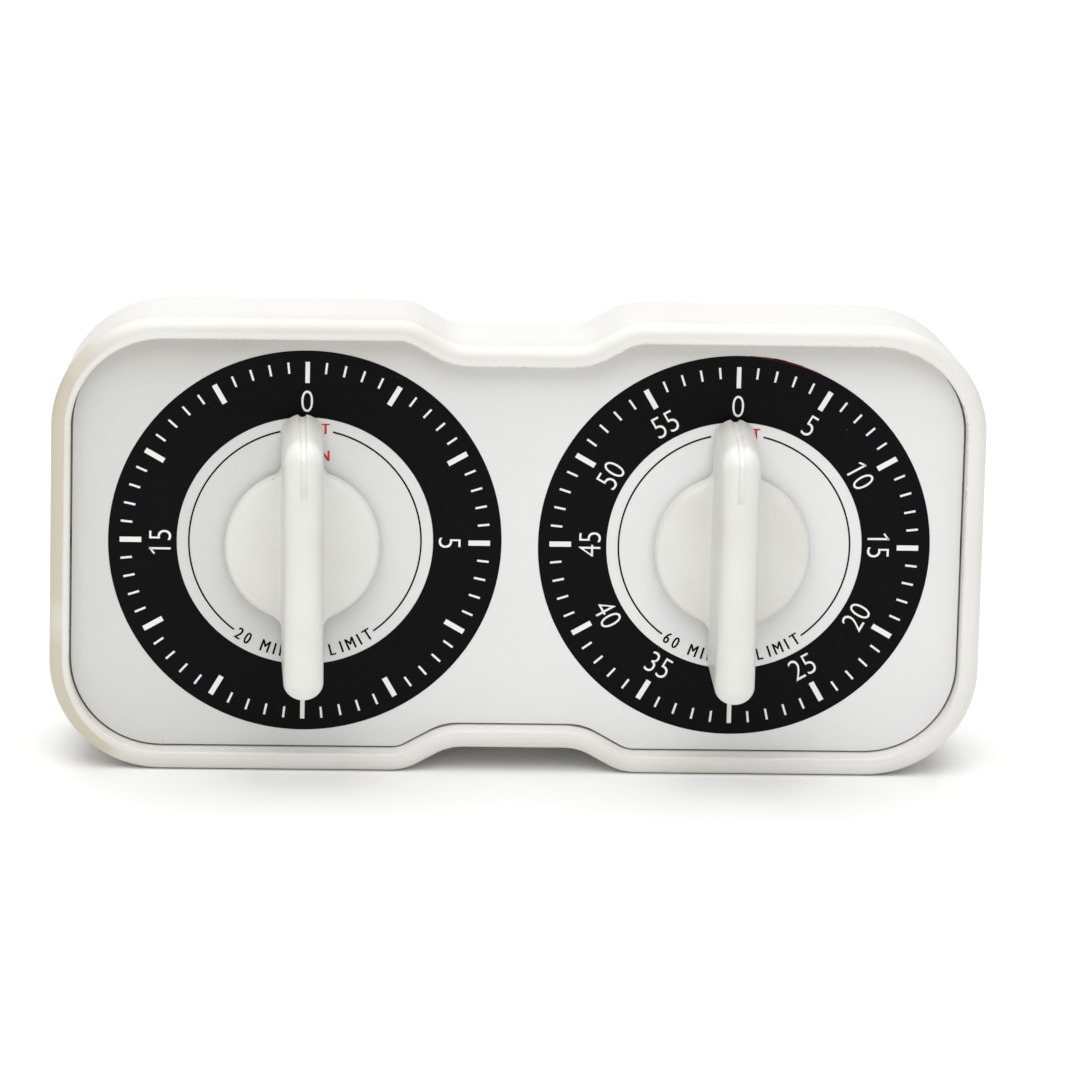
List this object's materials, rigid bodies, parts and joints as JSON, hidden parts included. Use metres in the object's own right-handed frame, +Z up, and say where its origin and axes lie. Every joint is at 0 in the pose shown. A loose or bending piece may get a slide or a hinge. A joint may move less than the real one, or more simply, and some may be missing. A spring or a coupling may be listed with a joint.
{
  "type": "kitchen timer",
  "caption": "Twin mechanical kitchen timer: notched oblong case, recessed face with round dials, bar-grip knobs on discs, and a clockwork movement and bell behind each dial.",
  "frame": {"origin": "bottom centre of the object's box, on the surface that it stands on", "axes": "+Z up, +X to the right as seen from the front, and the face looks along -Y"},
  "size_m": [0.166, 0.0512, 0.083],
  "materials": {
    "case_plastic": "moulded ABS, satin gloss, yellowed on the edges",
    "face_plastic": "moulded and printed face, satin",
    "cover_plastic": "moulded ABS, fine matt texture",
    "knob_plastic": "moulded, soft gloss",
    "brass": "stamped and cut",
    "plate_brass": "stamped sheet",
    "steel": "turned",
    "spring_steel": "blued",
    "bell_plate": "nickel plated",
    "zinc_screws": "zinc plated"
  },
  "bodies": {
    "case": {"case_shell": "case_plastic", "face_plate": "face_plastic", "rear_cover": "cover_plastic", "cover_screws": "zinc_screws", "face_screws": "zinc_screws", "movement_screws": "zinc_screws", "plate_screws": "zinc_screws", "left_front_plate": "plate_brass", "left_rear_plate": "plate_brass", "left_pillars": "steel", "left_mainspring": "spring_steel", "left_hammer_spring": "spring_steel", "left_bell": "bell_plate", "left_bell_stud": "steel", "left_bell_nut": "brass", "right_front_plate": "plate_brass", "right_rear_plate": "plate_brass", "right_pillars": "steel", "right_mainspring": "spring_steel", "right_hammer_spring": "spring_steel", "right_bell": "bell_plate", "right_bell_stud": "steel", "right_bell_nut": "brass"},
    "left_knob_and_arbor": {"left_knob": "knob_plastic", "left_knob_clip": "spring_steel", "left_arbor": "steel", "left_great_wheel": "brass", "left_clutch_spring": "spring_steel", "left_strike_cam": "brass"},
    "left_second": {"left_second_pinion": "steel", "left_second_wheel": "brass"},
    "left_third": {"left_third_pinion": "steel", "left_third_wheel": "brass"},
    "left_escape": {"left_escape_pinion": "steel", "left_escape_wheel": "brass"},
    "left_balance": {"left_verge": "steel", "left_balance_wheel": "brass"},
    "left_striker": {"left_strike_lever": "steel", "left_hammer": "steel"},
    "right_knob_and_arbor": {"right_knob": "knob_plastic", "right_knob_clip": "spring_steel", "right_arbor": "steel", "right_great_wheel": "brass", "right_clutch_spring": "spring_steel", "right_strike_cam": "brass"},
    "right_second": {"right_second_pinion": "steel", "right_second_wheel": "brass"},
    "right_third": {"right_third_pinion": "steel", "right_third_wheel": "brass"},
    "right_escape": {"right_escape_pinion": "steel", "right_escape_wheel": "brass"},
    "right_balance": {"right_verge": "steel", "right_balance_wheel": "brass"},
    "right_striker": {"right_strike_lever": "steel", "right_hammer": "steel"}
  },
  "joints": [
    {"name": "left_knob_turn", "type": "hinge", "parent": "case", "child": "left_knob_and_arbor", "pos_m": [-0.03825, 0.00737, 0.0415], "axis": [0, 1, 0], "range_deg": [0, 345]},
    {"name": "left_second_turn", "type": "hinge", "parent": "case", "child": "left_second", "pos_m": [-0.01852, 0.00737, 0.03432], "axis": [0, 1, 0], "range_deg": [-1381, 1]},
    {"name": "left_third_turn", "type": "hinge", "parent": "case", "child": "left_third", "pos_m": [-0.01102, 0.00737, 0.04731], "axis": [0, 1, 0], "range_deg": [-1, 6901]},
    {"name": "left_escape_turn", "type": "hinge", "parent": "case", "child": "left_escape", "pos_m": [-0.01822, 0.00737, 0.05589], "axis": [0, 1, 0], "range_deg": [-20701, 1]},
    {"name": "left_balance_swing", "type": "hinge", "parent": "case", "child": "left_balance", "pos_m": [-0.02558, 0.00737, 0.06014], "axis": [0, 1, 0], "range_deg": [-6, 6]},
    {"name": "left_strike_swing", "type": "hinge", "parent": "case", "child": "left_striker", "pos_m": [-0.05825, 0.00737, 0.0535], "axis": [0, 1, 0], "range_deg": [-2.4, 12], "stiffness_Nm_per_rad": 0.002},
    {"name": "right_knob_turn", "type": "hinge", "parent": "case", "child": "right_knob_and_arbor", "pos_m": [0.03825, 0.00737, 0.0415], "axis": [0, 1, 0], "range_deg": [0, 345]},
    {"name": "right_second_turn", "type": "hinge", "parent": "case", "child": "right_second", "pos_m": [0.05798, 0.00737, 0.03432], "axis": [0, 1, 0], "range_deg": [-2071, 1]},
    {"name": "right_third_turn", "type": "hinge", "parent": "case", "child": "right_third", "pos_m": [0.06548, 0.00737, 0.04731], "axis": [0, 1, 0], "range_deg": [-1, 10351]},
    {"name": "right_escape_turn", "type": "hinge", "parent": "case", "child": "right_escape", "pos_m": [0.05828, 0.00737, 0.05589], "axis": [0, 1, 0], "range_deg": [-62101, 1]},
    {"name": "right_balance_swing", "type": "hinge", "parent": "case", "child": "right_balance", "pos_m": [0.05092, 0.00737, 0.06014], "axis": [0, 1, 0], "range_deg": [-6, 6]},
    {"name": "right_strike_swing", "type": "hinge", "parent": "case", "child": "right_striker", "pos_m": [0.01825, 0.00737, 0.0535], "axis": [0, 1, 0], "range_deg": [-2.4, 12], "stiffness_Nm_per_rad": 0.002}
  ],
  "couplings": [
    {"joint": "left_second_turn", "follows": "left_knob_turn", "ratio": -4},
    {"joint": "left_third_turn", "follows": "left_knob_turn", "ratio": 20},
    {"joint": "left_escape_turn", "follows": "left_knob_turn", "ratio": -60},
    {"joint": "right_second_turn", "follows": "right_knob_turn", "ratio": -6},
    {"joint": "right_third_turn", "follows": "right_knob_turn", "ratio": 30},
    {"joint": "right_escape_turn", "follows": "right_knob_turn", "ratio": -180}
  ]
}
